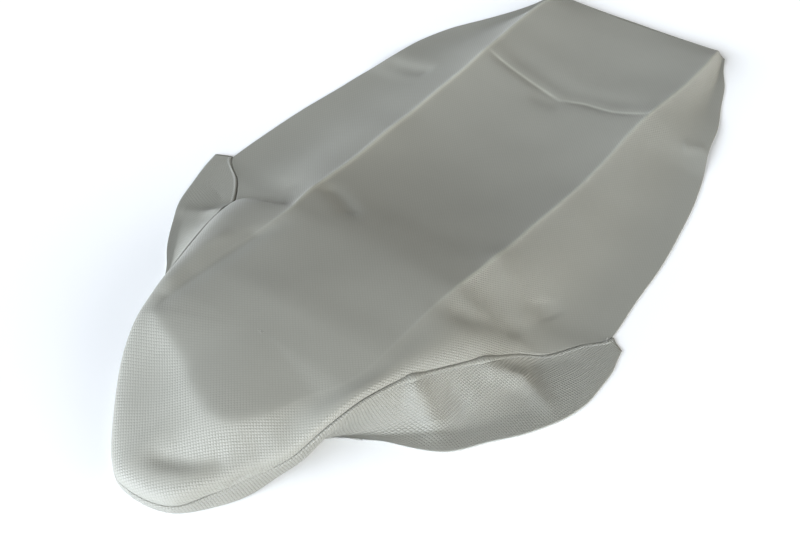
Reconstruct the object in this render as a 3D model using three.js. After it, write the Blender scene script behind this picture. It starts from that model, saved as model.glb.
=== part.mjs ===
// Long motorcycle seat cover laid out on a flat surface: one main panel of embossed vinyl that
// makes the top, the nose and both side skirts, and two curved gussets sewn under its front edges.
// Millimetres, +Z up, nose towards -Y, the rider's left on +X. Plan sizes in the tables below are
// measured from the middle of the cover's nose: x to the side, y from the nose to the tail.
import * as THREE from 'three';
import { mergeVertices } from 'three/addons/utils/BufferGeometryUtils.js';

// Driving dimensions
const SHEET = 1.5;                      // thickness of the vinyl
const SEAM_GAP = 0.5;                   // clearance between the two cloths along the seam
const MIDDLE_GAP = 0.4;                 // half the clearance between the gussets at the nose
const ROW_STEP = 15;                    // longest distance between two rows of faces
const PLAN_CENTRE = { x: 1, y: 389 };   // middle of the cover's plan, which becomes the origin
const NOTCH_STATION = 11;               // station where the front seam meets the side hem
const ARM = 0.35;                       // reach of a gusset curve's arms, as a share of its length
const FLOOR_FADE = 4;                   // height over which a crease grows from the cloth's hem

// Where a rib has a point: spine to ridge, ridge to lip, then the straight lip
const TOP_STEPS = [0, 0.35, 0.65, 0.87, 1];
const SKIRT_STEPS = [0.1, 0.26, 0.44, 0.62, 0.8, 1];
const LIP_STEPS = [0.2, 1];
const FALL_STEPS = [0, 0.14, 0.3, 0.48, 0.66, 0.84, 1];
const FLAT_STEPS = [0.15, 1];

const VINYL = { color: 0xb9bab2, roughness: 0.5, metalness: 0 };

// A table's columns by name, each an array down its rows
function table(names, rows) {
  return Object.fromEntries(names.split(' ').map((name, i) => [name, rows.map((row) => row[i])]));
}

// The crown of the cover, station by station from the tail to the nose: height of the spine, and the
// ridges (creases) on the left and the right between the top and the skirt, which share one height.
// At the nose the ribs fan out from one point.
const CROWN = table('spineY spineZ leftX leftY rightX rightY ridgeZ', [
  [783, 3, 95, 781, 95, 781, 6],
  [764, 4, 97, 764, 97, 764, 11],
  [735, 5, 100, 735, 100, 735, 14],
  [700, 5, 100, 700, 100, 700, 15],
  [660, 6, 98, 660, 98, 660, 17],
  [622, 8, 96, 622, 96, 622, 20],
  [580, 7, 95, 580, 95, 580, 19],
  [540, 7, 96, 540, 96, 540, 18],
  [500, 8, 96, 500, 96, 500, 18],
  [450, 11, 95, 450, 95, 450, 21],
  [400, 17, 93, 400, 92, 400, 25],
  [351, 26, 93, 351, 90, 351, 31],
  [325, 33, 93, 325, 88, 325, 36],
  [300, 39, 92, 301, 84, 301, 40],
  [282, 42, 92, 284, 81, 284, 43],
  [255, 45, 91, 256, 83, 255, 45],
  [216, 48, 91, 218, 89, 214, 46],
  [180, 50, 91, 182, 92, 180, 47],
  [150, 50, 85, 148, 93, 150, 47],
  [150, 50, 70, 122, 90, 124, 46],
  [150, 50, 61, 101, 72, 112, 46],
  [150, 50, 53, 84, 50, 103, 46],
  [150, 50, 42, 70, 28, 92, 46],
  [150, 50, 28, 64, 10, 78, 46],
  [150, 50, 17, 65, -1, 72, 46],
  [150, 50, 8, 69, -8, 69, 46],
]);

// The panel's edge on each side at the same stations: its place, the slope in degrees just past
// the ridge and at the edge, the length of the straight lip and the reach of the curve's two arms.
const EDGE_COLUMNS = 'x y z brow foot lip browReach footReach';
const LEFT_EDGE = table(EDGE_COLUMNS, [
  [105, 777, 2, 35, 5, 2, 0.35, 0.35],
  [112, 760, 0, 35, 0, 4, 0.35, 0.35],
  [126, 733, 0, 35, 0, 8, 0.35, 0.35],
  [138, 700, 0, 32, 0, 10, 0.35, 0.35],
  [153, 660, 2, 28, 0, 10, 0.35, 0.35],
  [162, 622, 3, 26, 0, 10, 0.35, 0.35],
  [176, 580, 0, 22, 0, 12, 0.35, 0.35],
  [186, 540, 0, 18, 0, 12, 0.35, 0.35],
  [193, 500, 0, 17, 0, 12, 0.38, 0.38],
  [200, 450, 0, 16, 0, 12, 0.42, 0.42],
  [203, 400, 0, 16, 0, 12, 0.48, 0.48],
  [207, 349, 0, 22, 0, 10, 0.48, 0.48],
  [190, 324, 1, 32, 3, 6, 0.42, 0.42],
  [175, 300, 2, 34, 16, 4, 0.42, 0.42],
  [158, 281, 9, 24, 36, 4, 0.4, 0.4],
  [146, 254, 20, 14, 46, 4, 0.4, 0.4],
  [129, 216, 32, 10, 50, 4, 0.4, 0.4],
  [114, 182, 39, 10, 50, 4, 0.4, 0.35],
  [104, 148, 42, 10, 56, 4, 0.4, 0.3],
  [94, 110, 36, 14, 70, 4, 0.5, 0.25],
  [83, 80, 23, 18, 84, 4, 0.5, 0.22],
  [66, 52, 17, 20, 88, 4, 0.5, 0.22],
  [51, 27, 12, 22, 92, 4, 0.5, 0.2],
  [33, 3, 9, 22, 94, 3, 0.5, 0.2],
  [16, -3, 9, 22, 94, 3, 0.5, 0.2],
  [0, -4, 9, 22, 94, 3, 0.5, 0.2],
]);
const RIGHT_EDGE = table(EDGE_COLUMNS, [
  [111, 774, 1, 35, 5, 2, 0.35, 0.35],
  [116, 758, 0, 35, 0, 4, 0.35, 0.35],
  [126, 733, 0, 35, 0, 8, 0.35, 0.35],
  [143, 700, 0, 32, 0, 10, 0.35, 0.35],
  [165, 660, 0, 28, 0, 10, 0.35, 0.35],
  [177, 622, 1, 26, 0, 10, 0.35, 0.35],
  [182, 580, 3, 22, 0, 10, 0.35, 0.35],
  [190, 540, 0, 18, 0, 12, 0.35, 0.35],
  [195, 500, 0, 17, 0, 12, 0.38, 0.38],
  [202, 450, 0, 16, 0, 12, 0.42, 0.42],
  [206, 400, 0, 16, 0, 12, 0.48, 0.48],
  [208, 351, 0, 22, 0, 10, 0.48, 0.48],
  [180, 325, 1, 34, 3, 6, 0.42, 0.42],
  [162, 300, 2, 36, 12, 4, 0.42, 0.42],
  [156, 284, 10, 14, 48, 4, 0.45, 0.45],
  [145, 254, 22, 12, 50, 4, 0.4, 0.4],
  [132, 216, 31, 12, 48, 4, 0.4, 0.4],
  [122, 182, 34, 14, 50, 4, 0.4, 0.35],
  [112, 148, 36, 16, 60, 4, 0.45, 0.3],
  [103, 112, 30, 22, 70, 4, 0.5, 0.25],
  [88, 82, 23, 22, 82, 4, 0.5, 0.2],
  [69, 54, 17, 22, 86, 4, 0.5, 0.18],
  [48, 28, 12, 22, 90, 4, 0.5, 0.18],
  [28, 7, 9, 22, 94, 3, 0.5, 0.18],
  [14, -2, 9, 22, 94, 3, 0.5, 0.2],
  [0, -4, 9, 22, 94, 3, 0.5, 0.2],
]);

// Each gusset from the notch to the nose: where it first touches the surface it lies on and where
// its free edge ends. At the nose it is tucked under the cover, behind that it spreads outwards.
const GUSSET_COLUMNS = 'station footX footY hemX hemY';
const LEFT_GUSSET = table(GUSSET_COLUMNS, [
  [11, 213, 345, 221, 340],
  [11.5, 212, 333, 224, 325],
  [12, 213, 318, 226.5, 312],
  [13, 216, 290, 227, 282],
  [14, 208, 262, 222, 254],
  [15, 195, 237, 207, 224],
  [16, 173, 203, 185, 195],
  [17, 147, 177, 160, 165],
  [17.6, 122, 158, 138, 155],
  [18, 104, 146, 120, 149],
  [18.5, 86, 131, 103, 140],
  [19, 72, 113, 73, 126],
  [20, 70, 84, 51, 90],
  [21, 66, 51, 44, 63],
  [22, 52, 26, 33, 43],
  [23, 31, 5, 16, 35],
  [24, 15, 0, 8, 33],
  [25, 0, -1, 0, 32],
]);
const RIGHT_GUSSET = table(GUSSET_COLUMNS, [
  [11, 214, 350, 225, 345],
  [11.5, 210, 335, 223, 335],
  [12, 208, 320, 221, 325],
  [13, 204, 298, 213, 297],
  [14, 195, 272, 205, 272],
  [15, 180, 244, 190, 246],
  [16, 160, 214, 171, 218],
  [17, 138, 184, 150, 194],
  [17.6, 120, 163, 136, 173],
  [18, 108, 145, 122, 156],
  [18.5, 94, 132, 103, 142],
  [19, 84, 113, 76, 126],
  [20, 78, 86, 56, 93],
  [21, 66, 54, 45, 66],
  [22, 47, 30, 32, 46],
  [23, 27, 9, 15, 36],
  [24, 13, 1, 8, 33],
  [25, 0, -1, 0, 32],
]);

// Creases and dents: a path in plan, the height at its middle (negative sinks) and its half width
const PANEL_CREASES = [
  { path: [[-92, 626], [-46, 620], [-8, 612]], height: 3, width: 10 },
  { path: [[0, 610], [30, 613], [60, 618], [95, 624]], height: 3, width: 10 },
  { path: [[-60, 600], [-10, 590], [50, 600]], height: -2, width: 16 },
  { path: [[-4, 25], [17, 31], [42, 38], [60, 47]], height: -3, width: 8 },
  { path: [[-84, 338], [-66, 333], [-50, 325], [-36, 316]], height: -3, width: 10 },
  { path: [[104, 300], [131, 301], [161, 300]], height: -3, width: 14 },
  { path: [[111, 380], [129, 350], [148, 318]], height: 3, width: 16 },
];
const LEFT_GUSSET_CREASES = [
  { path: [[129, 194], [142, 184], [149, 178]], height: 2.5, width: 8 },
  { path: [[151, 256], [174, 271], [198, 256], [212, 247]], height: 3, width: 10 },
];
const RIGHT_GUSSET_CREASES = [
  { path: [[-160, 279], [-178, 272], [-196, 254]], height: 3, width: 10 },
];

// What makes each side of the cover; the right one is written as if on +X and is mirrored
const LEFT = { edge: LEFT_EDGE, gusset: LEFT_GUSSET, ridge: ['leftX', 'leftY', 'ridgeZ'] };
const RIGHT = { edge: RIGHT_EDGE, gusset: RIGHT_GUSSET, ridge: ['rightX', 'rightY', 'ridgeZ'] };

// Distance of every station along the left edge in plan, the measure that all rows share
const STATION_AT = LEFT_EDGE.x.reduce((sums, x, i) => {
  const step = i ? Math.hypot(x - LEFT_EDGE.x[i - 1], LEFT_EDGE.y[i] - LEFT_EDGE.y[i - 1]) : 0;
  return [...sums, (sums[i - 1] ?? 0) + step];
}, []);

// Cubic curve through the knots whose slopes are limited, so it never swings past a knot
function knotCurve(at, values, w) {
  const last = at.length - 1;
  const rise = at.slice(1).map((x, i) => (values[i + 1] - values[i]) / (x - at[i]));
  const slope = (i) => {
    if (i === 0) return rise[0];
    if (i === last) return rise[last - 1];
    if (rise[i - 1] * rise[i] <= 0) return 0;
    const share = (at[i] - at[i - 1]) / (at[i + 1] - at[i - 1]);
    const mean = rise[i - 1] * (1 - share) + rise[i] * share;
    const limit = 3 * Math.min(Math.abs(rise[i - 1]), Math.abs(rise[i]));
    return Math.sign(mean) * Math.min(Math.abs(mean), limit);
  };
  let i = 0;
  while (i < last - 1 && w >= at[i + 1]) i += 1;
  const h = at[i + 1] - at[i];
  const t = (w - at[i]) / h;
  return values[i] * (1 + 2 * t) * (1 - t) ** 2 + values[i + 1] * t * t * (3 - 2 * t)
    + h * (slope(i) * t * (1 - t) ** 2 - slope(i + 1) * t * t * (1 - t));
}

// Place along the left edge of a station number, which may lie between two stations
function stationPlace(number) {
  const i = Math.min(Math.floor(number), STATION_AT.length - 2);
  return STATION_AT[i] + (STATION_AT[i + 1] - STATION_AT[i]) * (number - i);
}

// Rows from one station to another, no further apart than the row step
function rowsBetween(first, last) {
  const rows = [STATION_AT[first]];
  for (let i = first; i < last; i += 1) {
    const length = STATION_AT[i + 1] - STATION_AT[i];
    const count = Math.ceil(length / ROW_STEP);
    for (let k = 1; k <= count; k += 1) rows.push(STATION_AT[i] + (length * k) / count);
  }
  return rows;
}

// A direction that leaves along the plan direction and falls by an angle
function falling(planDirection, degrees) {
  const angle = THREE.MathUtils.degToRad(degrees);
  const cos = Math.cos(angle);
  return new THREE.Vector3(planDirection.x * cos, planDirection.y * cos, -Math.sin(angle));
}

// One rib of the panel at a row: the ridge, the curve down the skirt, the lip and its direction
function ribAt(side, w) {
  const { edge } = side;
  const read = (columns, name) => knotCurve(STATION_AT, columns[name], w);
  const spine = new THREE.Vector3(0, read(CROWN, 'spineY'), read(CROWN, 'spineZ') + SHEET / 2);
  const ridge = new THREE.Vector3(...side.ridge.map((name) => read(CROWN, name)));
  ridge.z += SHEET / 2;
  const end = new THREE.Vector3(read(edge, 'x'), read(edge, 'y'), read(edge, 'z') + SHEET / 2);
  const plan = new THREE.Vector2(end.x - ridge.x, end.y - ridge.y).normalize();
  const down = falling(plan, read(edge, 'foot'));
  const lipStart = end.clone().addScaledVector(down, -read(edge, 'lip'));
  const length = lipStart.distanceTo(ridge);
  const skirt = new THREE.CubicBezierCurve3(
    ridge,
    ridge.clone().addScaledVector(falling(plan, read(edge, 'brow')), length * read(edge, 'browReach')),
    lipStart.clone().addScaledVector(down, -length * read(edge, 'footReach')),
    lipStart,
  );
  return { spine, ridge, skirt, lipStart, end, down };
}

// Points of a rib of the panel; between the spine and the ridge the height follows a parabola
function panelRow(side, w) {
  const rib = ribAt(side, w);
  const top = TOP_STEPS.map((t) => {
    const point = rib.spine.clone().lerp(rib.ridge, t);
    point.z = rib.spine.z + (rib.ridge.z - rib.spine.z) * t * t;
    return point;
  });
  const skirt = SKIRT_STEPS.map((t) => rib.skirt.getPoint(t));
  const lip = LIP_STEPS.map((t) => rib.lipStart.clone().lerp(rib.end, t));
  return [...top, ...skirt, ...lip];
}

// Points of a rib of a gusset: it leaves the seam as the panel does, turns on to the surface below
// and lies flat from its foot to its hem
function gussetRow(side, w) {
  const rib = ribAt(side, w);
  const at = side.gusset.station.map(stationPlace);
  const read = (name) => knotCurve(at, side.gusset[name], w);
  const foot = new THREE.Vector3(read('footX'), read('footY'), SHEET / 2);
  const hem = new THREE.Vector3(read('hemX'), read('hemY'), SHEET / 2);
  const start = rib.end.clone().addScaledVector(rib.down, SEAM_GAP);
  const arm = start.distanceTo(foot) * ARM;
  const away = hem.clone().sub(foot).normalize();
  const fall = new THREE.CubicBezierCurve3(
    start,
    start.clone().addScaledVector(rib.down, arm),
    foot.clone().addScaledVector(away, -arm),
    foot,
  );
  const falls = FALL_STEPS.map((t) => fall.getPoint(t));
  const flat = FLAT_STEPS.map((t) => foot.clone().lerp(hem, t));
  const clear = new THREE.Vector3(MIDDLE_GAP, -Infinity, SHEET / 2);
  return [...falls, ...flat].map((point) => point.max(clear));
}

// Points of the right half, from as if on +X to their own side
function mirrored(row) {
  return row.map((point) => point.clone().setX(-point.x));
}

// Indexed sheet over rows of points, with points that meet made one and empty faces left out
function sheetOver(rows) {
  const width = rows[0].length;
  const faces = [];
  for (let i = 0; i + 1 < rows.length; i += 1) {
    for (let j = 0; j + 1 < width; j += 1) {
      const a = i * width + j;
      const b = a + width;
      faces.push(a, b, a + 1, a + 1, b, b + 1);
    }
  }
  const sheet = new THREE.BufferGeometry().setFromPoints(rows.flat());
  sheet.setIndex(faces);
  return withoutEmptyFaces(mergeVertices(sheet, 1e-4));
}

function withoutEmptyFaces(sheet) {
  const index = Array.from(sheet.index.array);
  const kept = [];
  for (let i = 0; i < index.length; i += 3) {
    const [a, b, c] = index.slice(i, i + 3);
    if (a !== b && b !== c && c !== a) kept.push(a, b, c);
  }
  sheet.setIndex(kept);
  sheet.computeVertexNormals();
  return sheet;
}

// Shortest distance in plan from a point to a path, and how far along the path that is, 0 to 1
function nearestOnPath(x, y, path) {
  const lengths = path.slice(1).map(([px, py], i) => Math.hypot(px - path[i][0], py - path[i][1]));
  const total = lengths.reduce((sum, length) => sum + length, 0);
  let best = { distance: Infinity, share: 0 };
  let passed = 0;
  lengths.forEach((length, i) => {
    const [px, py] = path[i];
    const dx = path[i + 1][0] - px;
    const dy = path[i + 1][1] - py;
    const t = THREE.MathUtils.clamp(((x - px) * dx + (y - py) * dy) / length ** 2, 0, 1);
    const distance = Math.hypot(x - px - t * dx, y - py - t * dy);
    if (distance < best.distance) best = { distance, share: (passed + t * length) / total };
    passed += length;
  });
  return best;
}

// Lift or sink a sheet along its normals in a bell shape beside each crease's path; a crease fades
// at its ends and where the cloth nears the surface it lies on
function pressCreases(sheet, creases) {
  const { position, normal } = sheet.attributes;
  for (let i = 0; i < position.count; i += 1) {
    const point = new THREE.Vector3().fromBufferAttribute(position, i);
    const outward = new THREE.Vector3().fromBufferAttribute(normal, i);
    const clear = THREE.MathUtils.clamp((point.z - SHEET / 2) / FLOOR_FADE, 0, 1);
    const lift = creases.reduce((sum, { path, height, width }) => {
      const { distance, share } = nearestOnPath(point.x, point.y, path);
      const fade = Math.min(1, 0.25 + 1.6 * Math.sin(Math.PI * share));
      return sum + height * fade * Math.exp(-((distance / width) ** 2));
    }, 0);
    point.addScaledVector(outward, lift * clear);
    position.setXYZ(i, point.x, point.y, point.z);
  }
  sheet.computeVertexNormals();
  return sheet;
}

// Closed solid of a sheet: a skin half the thickness to each side, joined round every free edge
function thickened(sheet) {
  const { position, normal } = sheet.attributes;
  const index = Array.from(sheet.index.array);
  const count = position.count;
  const skin = (side) => Array.from({ length: count }, (_, i) => new THREE.Vector3()
    .fromBufferAttribute(position, i)
    .addScaledVector(new THREE.Vector3().fromBufferAttribute(normal, i), (side * SHEET) / 2));
  const edges = new Map();
  const faces = [];
  for (let i = 0; i < index.length; i += 3) {
    const [a, b, c] = index.slice(i, i + 3);
    faces.push(a, b, c, a + count, c + count, b + count);
    for (const [from, to] of [[a, b], [b, c], [c, a]]) {
      if (!edges.delete(`${to} ${from}`)) edges.set(`${from} ${to}`, [from, to]);
    }
  }
  for (const [from, to] of edges.values()) {
    faces.push(from, from + count, to, to, from + count, to + count);
  }
  const solid = new THREE.BufferGeometry().setFromPoints([...skin(1), ...skin(-1)]);
  solid.setIndex(faces);
  solid.computeVertexNormals();
  return solid;
}

function clothMesh(name, geometry) {
  const mesh = new THREE.Mesh(geometry, new THREE.MeshStandardMaterial(VINYL));
  mesh.name = name;
  return mesh;
}

// Main panel: ribs from the tail up the left side, round the nose and back down the right side
function mainPanel() {
  const rows = rowsBetween(0, STATION_AT.length - 1);
  const left = rows.map((w) => panelRow(LEFT, w));
  const right = rows.map((w) => mirrored(panelRow(RIGHT, w))).reverse().slice(1);
  const sheet = pressCreases(sheetOver([...left, ...right]), PANEL_CREASES);
  return clothMesh('main_panel', thickened(sheet));
}

function leftGusset() {
  const rows = rowsBetween(NOTCH_STATION, STATION_AT.length - 1);
  const ribs = rows.map((w) => gussetRow(LEFT, w));
  const sheet = pressCreases(sheetOver(ribs), LEFT_GUSSET_CREASES);
  return clothMesh('left_front_gusset', thickened(sheet));
}

function rightGusset() {
  const rows = rowsBetween(NOTCH_STATION, STATION_AT.length - 1).reverse();
  const ribs = rows.map((w) => mirrored(gussetRow(RIGHT, w)));
  const sheet = pressCreases(sheetOver(ribs), RIGHT_GUSSET_CREASES);
  return clothMesh('right_front_gusset', thickened(sheet));
}

const seatCover = new THREE.Group();
seatCover.position.set(-PLAN_CENTRE.x, -PLAN_CENTRE.y, 0);
seatCover.add(mainPanel(), leftGusset(), rightGusset());

export default seatCover;
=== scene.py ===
"""Long motorcycle seat cover laid out on a flat surface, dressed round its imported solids.

The cover is one main panel of embossed vinyl with two curved gussets sewn under its front edges.
Sizes in the tables are millimetres, x to the side and y from the nose to the tail, as the cloth was
measured. Everything that reaches Blender is in metres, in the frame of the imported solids, with the
nose towards -Y and the rider's left on +X.
"""

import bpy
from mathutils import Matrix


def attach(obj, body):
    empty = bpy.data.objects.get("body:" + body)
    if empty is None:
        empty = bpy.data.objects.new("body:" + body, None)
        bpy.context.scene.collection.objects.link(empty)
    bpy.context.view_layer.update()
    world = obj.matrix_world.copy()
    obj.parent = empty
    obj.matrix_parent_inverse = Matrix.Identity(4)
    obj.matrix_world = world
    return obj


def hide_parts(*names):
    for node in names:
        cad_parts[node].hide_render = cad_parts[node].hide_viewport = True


bl_info = {
    "name": "Motorcycle Seat Cover",
    "version": (1, 0, 0),
    "blender": (4, 5, 0),
    "location": "3D View > Sidebar > Seat Cover",
    "description": "Sewn vinyl seat cover with its seam, stitches and a plain studio",
    "category": "Object",
}

from types import SimpleNamespace

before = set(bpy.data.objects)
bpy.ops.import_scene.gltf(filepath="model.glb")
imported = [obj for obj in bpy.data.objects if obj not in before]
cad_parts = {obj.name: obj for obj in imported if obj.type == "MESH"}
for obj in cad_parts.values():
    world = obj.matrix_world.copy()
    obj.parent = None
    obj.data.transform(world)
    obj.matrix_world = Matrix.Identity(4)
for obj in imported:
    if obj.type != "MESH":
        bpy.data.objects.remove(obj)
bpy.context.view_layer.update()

import bmesh
import bpy
import numpy as np
from bpy.props import FloatProperty, FloatVectorProperty, IntProperty, PointerProperty
from mathutils import Euler

MM = 0.001

# The middle of the cover's plan in the tables' own millimetres is the frame's origin
PLAN_CENTRE = np.array([1.0, 389.0, 0.0])
SOLID_SHEET = 1.5
HALF_SOLID = SOLID_SHEET / 2
NOTCH_STATION = 11

LEFT, RIGHT = 1, -1
SIDE_NAMES = {LEFT: "left", RIGHT: "right"}


def table(names, rows):
    """Columns of a table by name, each an array down its rows."""
    return dict(zip(names.split(), np.array(rows, float).T))


# The crown, station by station from the tail to the nose: height of the spine, and the ridges on
# the left and the right between the top and the skirt. At the nose the ribs fan out from one point.
CROWN = table("spine_y spine_z left_x left_y right_x right_y ridge_z", [
    [783, 3, 95, 781, 95, 781, 6],
    [764, 4, 97, 764, 97, 764, 11],
    [735, 5, 100, 735, 100, 735, 14],
    [700, 5, 100, 700, 100, 700, 15],
    [660, 6, 98, 660, 98, 660, 17],
    [622, 8, 96, 622, 96, 622, 20],
    [580, 7, 95, 580, 95, 580, 19],
    [540, 7, 96, 540, 96, 540, 18],
    [500, 8, 96, 500, 96, 500, 18],
    [450, 11, 95, 450, 95, 450, 21],
    [400, 17, 93, 400, 92, 400, 25],
    [351, 26, 93, 351, 90, 351, 31],
    [325, 33, 93, 325, 88, 325, 36],
    [300, 39, 92, 301, 84, 301, 40],
    [282, 42, 92, 284, 81, 284, 43],
    [255, 45, 91, 256, 83, 255, 45],
    [216, 48, 91, 218, 89, 214, 46],
    [180, 50, 91, 182, 92, 180, 47],
    [150, 50, 85, 148, 93, 150, 47],
    [150, 50, 70, 122, 90, 124, 46],
    [150, 50, 61, 101, 72, 112, 46],
    [150, 50, 53, 84, 50, 103, 46],
    [150, 50, 42, 70, 28, 92, 46],
    [150, 50, 28, 64, 10, 78, 46],
    [150, 50, 17, 65, -1, 72, 46],
    [150, 50, 8, 69, -8, 69, 46],
])

# The panel's edge on each side: its place, the slopes in degrees just past the ridge and at the
# edge, the length of the straight lip and the reach of the curve's arms at the ridge and the edge
EDGE_COLUMNS = "x y z brow foot lip brow_reach foot_reach"
LEFT_EDGE = table(EDGE_COLUMNS, [
    [105, 777, 2, 35, 5, 2, 0.35, 0.35],
    [112, 760, 0, 35, 0, 4, 0.35, 0.35],
    [126, 733, 0, 35, 0, 8, 0.35, 0.35],
    [138, 700, 0, 32, 0, 10, 0.35, 0.35],
    [153, 660, 2, 28, 0, 10, 0.35, 0.35],
    [162, 622, 3, 26, 0, 10, 0.35, 0.35],
    [176, 580, 0, 22, 0, 12, 0.35, 0.35],
    [186, 540, 0, 18, 0, 12, 0.35, 0.35],
    [193, 500, 0, 17, 0, 12, 0.38, 0.38],
    [200, 450, 0, 16, 0, 12, 0.42, 0.42],
    [203, 400, 0, 16, 0, 12, 0.48, 0.48],
    [207, 349, 0, 22, 0, 10, 0.48, 0.48],
    [190, 324, 1, 32, 3, 6, 0.42, 0.42],
    [175, 300, 2, 34, 16, 4, 0.42, 0.42],
    [158, 281, 9, 24, 36, 4, 0.4, 0.4],
    [146, 254, 20, 14, 46, 4, 0.4, 0.4],
    [129, 216, 32, 10, 50, 4, 0.4, 0.4],
    [114, 182, 39, 10, 50, 4, 0.4, 0.35],
    [104, 148, 42, 10, 56, 4, 0.4, 0.3],
    [94, 110, 36, 14, 70, 4, 0.5, 0.25],
    [83, 80, 23, 27, 84, 4, 0.5, 0.22],
    [66, 52, 17, 27, 88, 4, 0.5, 0.22],
    [51, 27, 12, 27, 92, 4, 0.5, 0.2],
    [33, 3, 9, 27, 94, 3, 0.5, 0.2],
    [16, -3, 9, 27, 94, 3, 0.5, 0.2],
    [0, -4, 9, 27, 94, 3, 0.5, 0.2],
])
RIGHT_EDGE = table(EDGE_COLUMNS, [
    [111, 774, 1, 35, 5, 2, 0.35, 0.35],
    [116, 758, 0, 35, 0, 4, 0.35, 0.35],
    [126, 733, 0, 35, 0, 8, 0.35, 0.35],
    [143, 700, 0, 32, 0, 10, 0.35, 0.35],
    [165, 660, 0, 28, 0, 10, 0.35, 0.35],
    [177, 622, 1, 26, 0, 10, 0.35, 0.35],
    [182, 580, 3, 22, 0, 10, 0.35, 0.35],
    [190, 540, 0, 18, 0, 12, 0.35, 0.35],
    [195, 500, 0, 17, 0, 12, 0.38, 0.38],
    [202, 450, 0, 16, 0, 12, 0.42, 0.42],
    [206, 400, 0, 16, 0, 12, 0.48, 0.48],
    [208, 351, 0, 22, 0, 10, 0.48, 0.48],
    [180, 325, 1, 34, 3, 6, 0.42, 0.42],
    [162, 300, 2, 36, 12, 4, 0.42, 0.42],
    [156, 284, 10, 14, 48, 4, 0.45, 0.45],
    [145, 254, 22, 12, 50, 4, 0.4, 0.4],
    [132, 216, 31, 12, 48, 4, 0.4, 0.4],
    [122, 182, 34, 14, 50, 4, 0.4, 0.35],
    [112, 148, 36, 16, 60, 4, 0.45, 0.3],
    [103, 112, 30, 28, 70, 4, 0.5, 0.25],
    [88, 82, 23, 28, 82, 4, 0.5, 0.2],
    [69, 54, 17, 28, 86, 4, 0.5, 0.18],
    [48, 28, 12, 28, 90, 4, 0.5, 0.18],
    [28, 7, 9, 28, 94, 3, 0.5, 0.18],
    [14, -2, 9, 28, 94, 3, 0.5, 0.2],
    [0, -4, 9, 28, 94, 3, 0.5, 0.2],
])
EDGES = {LEFT: LEFT_EDGE, RIGHT: RIGHT_EDGE}

# The gussets from the notch to the nose: where each first touches the surface and where it ends
GUSSETS = table("station left_foot_x left_foot_y left_hem_x left_hem_y "
                "right_foot_x right_foot_y right_hem_x right_hem_y", [
    [11, 213, 345, 221, 340, 214, 350, 225, 345],
    [11.5, 212, 333, 224, 325, 210, 335, 223, 335],
    [12, 213, 318, 226.5, 312, 208, 320, 221, 325],
    [13, 216, 290, 227, 282, 204, 298, 213, 297],
    [14, 208, 262, 222, 254, 195, 272, 205, 272],
    [15, 195, 237, 207, 224, 180, 244, 190, 246],
    [16, 173, 203, 185, 195, 160, 214, 171, 218],
    [17, 147, 177, 160, 165, 138, 184, 150, 194],
    [17.6, 122, 158, 138, 155, 120, 163, 136, 173],
    [18, 104, 146, 120, 149, 108, 145, 122, 156],
    [18.5, 86, 131, 103, 140, 94, 132, 103, 142],
    [19, 72, 113, 73, 126, 84, 113, 76, 126],
    [20, 70, 84, 51, 90, 78, 86, 56, 93],
    [21, 66, 51, 44, 63, 66, 54, 45, 66],
    [22, 52, 26, 33, 43, 47, 30, 32, 46],
    [23, 31, 5, 16, 35, 27, 9, 15, 36],
    [24, 15, 0, 8, 33, 13, 1, 8, 33],
    [25, 0, -1, 0, 32, 0, -1, 0, 32],
])


def fold(path, height, width, sharp=0, pale=0):
    """Crease or dent along a path in plan: the height at its middle (negative sinks), the half width, how
    sharp its top is (0 a soft bell, 1 a tent) and how much paler its line makes the vinyl, partly stress
    whitening and partly a painted highlight along the crest."""
    return SimpleNamespace(path=path, height=height, width=width, sharp=sharp, pale=pale)


PANEL_CREASES = [
    # The first two creases also get a paler line: stress whitening with a painted highlight on their
    # crests
    fold([[-92, 627], [-47, 618], [-12, 611], [6, 606]], -1.2, 7, sharp=0.4, pale=1.3),
    fold([[4, 608], [28, 615], [59, 614], [95, 621]], -1.0, 7, sharp=0.4, pale=1.3),
    fold([[-24, 600], [-6, 597], [12, 599]], -1.4, 11),
    fold([[-88, 644], [-40, 634], [8, 624], [60, 632], [90, 638]], -2.4, 18),
    fold([[4, 27], [32, 39], [56, 57], [72, 77]], -2.2, 14),
    fold([[-2, 19], [16, 24], [31, 30], [43, 39], [54, 50]], -2.8, 9),
    fold([[-84, 338], [-66, 333], [-50, 325], [-36, 316]], -3, 9),
    fold([[-76, 262], [-82, 239], [-85, 205], [-89, 172], [-92, 139], [-88, 118]], -3.2, 9, sharp=0.2),
    fold([[-104, 235], [-108, 205], [-106, 170], [-100, 140]], 1.6, 9),
    fold([[100, 262], [117, 270], [127, 282], [138, 290], [150, 294]], -2.8, 12, sharp=0.1),
    fold([[84, 352], [99, 345], [116, 333], [134, 318], [150, 314]], 2.0, 15),
    fold([[139, 346], [145, 341], [158, 336]], -1.2, 13),
    fold([[-182, 564], [-152, 569], [-128, 574]], -1.8, 11),
    fold([[158, 624], [150, 618], [138, 612]], 1, 9),
]
GUSSET_CREASES = {
    LEFT: [
        fold([[115, 181], [127, 186], [139, 184], [152, 172]], 5, 9, sharp=0.2),
        fold([[136, 206], [144, 209], [154, 210]], -2.0, 10),
        fold([[142, 238], [156, 252], [172, 262], [188, 260], [208, 248]], 5, 9, sharp=0.2),
        fold([[166, 284], [186, 288], [206, 300]], -3, 8),
    ],
    RIGHT: [
        fold([[-152, 276], [-178, 272], [-198, 260]], 3, 8, sharp=0.4),
    ],
}


def length_setting(name, description, millimetres):
    """Length that a user can change."""
    return FloatProperty(name=name, description=description, default=millimetres * MM, unit="LENGTH")


def colour_setting(name, description, *levels):
    """Colour that a user can change."""
    return FloatVectorProperty(
        name=name, description=description, default=levels, size=3, subtype="COLOR")


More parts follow.
